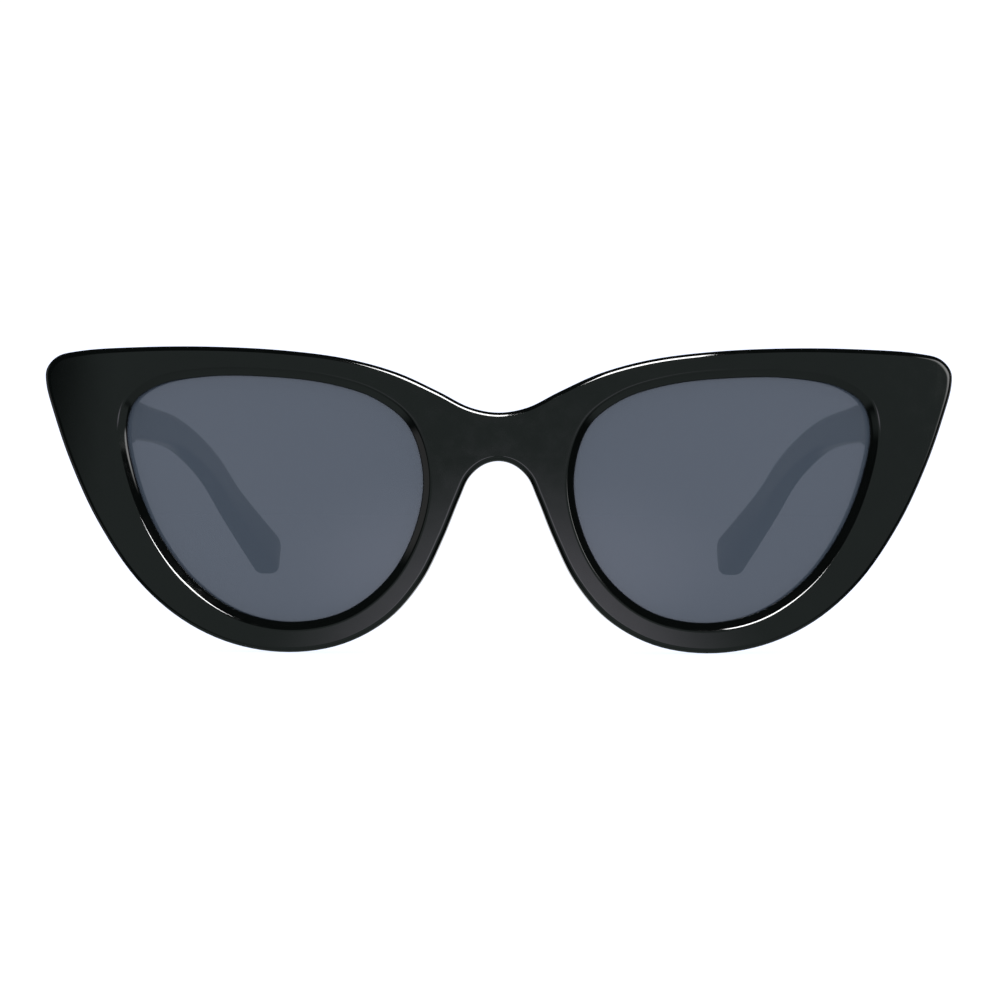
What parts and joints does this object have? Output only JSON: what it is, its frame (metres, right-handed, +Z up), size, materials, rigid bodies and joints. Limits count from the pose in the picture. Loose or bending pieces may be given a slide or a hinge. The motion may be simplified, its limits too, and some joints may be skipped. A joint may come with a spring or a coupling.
{
  "type": "cat eye sunglasses",
  "caption": "Cat eye sunglasses with a bowed glossy black front, smoke grey lenses, nose pads and two temples that fold on upright screw hinges.",
  "frame": {"origin": "middle of the open pair's base, on the surface that the rims stand on", "axes": "+X to the wearer's left, -Y the way the front faces, +Z up"},
  "size_m": [0.1468, 0.1532, 0.0484],
  "materials": {
    "front_acetate": "polished black cellulose acetate",
    "temple_acetate": "polished black cellulose acetate",
    "nose_pad": "glued black cellulose acetate, buffed",
    "lens": "smoke grey tinted plastic lens",
    "hinge_metal": "nickel silver, tumbled",
    "screw_metal": "turned stainless steel",
    "core_steel": "drawn spring wire"
  },
  "bodies": {
    "front": {"front_frame": "front_acetate", "lens_left": "lens", "lens_right": "lens", "nose_pad_left": "nose_pad", "nose_pad_right": "nose_pad", "front_hinge_leaf_left": "hinge_metal", "front_hinge_leaf_right": "hinge_metal", "hinge_screw_left": "screw_metal", "hinge_screw_right": "screw_metal", "front_leaf_screw_left_upper": "screw_metal", "front_leaf_screw_left_lower": "screw_metal", "front_leaf_screw_right_upper": "screw_metal", "front_leaf_screw_right_lower": "screw_metal"},
    "temple_left": {"temple_left": "temple_acetate", "core_wire_left": "core_steel", "temple_hinge_leaf_left": "hinge_metal", "temple_leaf_screw_left_upper": "screw_metal", "temple_leaf_screw_left_lower": "screw_metal"},
    "temple_right": {"temple_right": "temple_acetate", "core_wire_right": "core_steel", "temple_hinge_leaf_right": "hinge_metal", "temple_leaf_screw_right_upper": "screw_metal", "temple_leaf_screw_right_lower": "screw_metal"}
  },
  "joints": [
    {"name": "fold_left", "type": "hinge", "parent": "front", "child": "temple_left", "pos_m": [0.064, -0.0559, 0.0385], "axis": [0, 0, 1], "range_deg": [0, 88]},
    {"name": "fold_right", "type": "hinge", "parent": "front", "child": "temple_right", "pos_m": [-0.064, -0.0559, 0.0385], "axis": [0, 0, -1], "range_deg": [0, 82.5]}
  ]
}
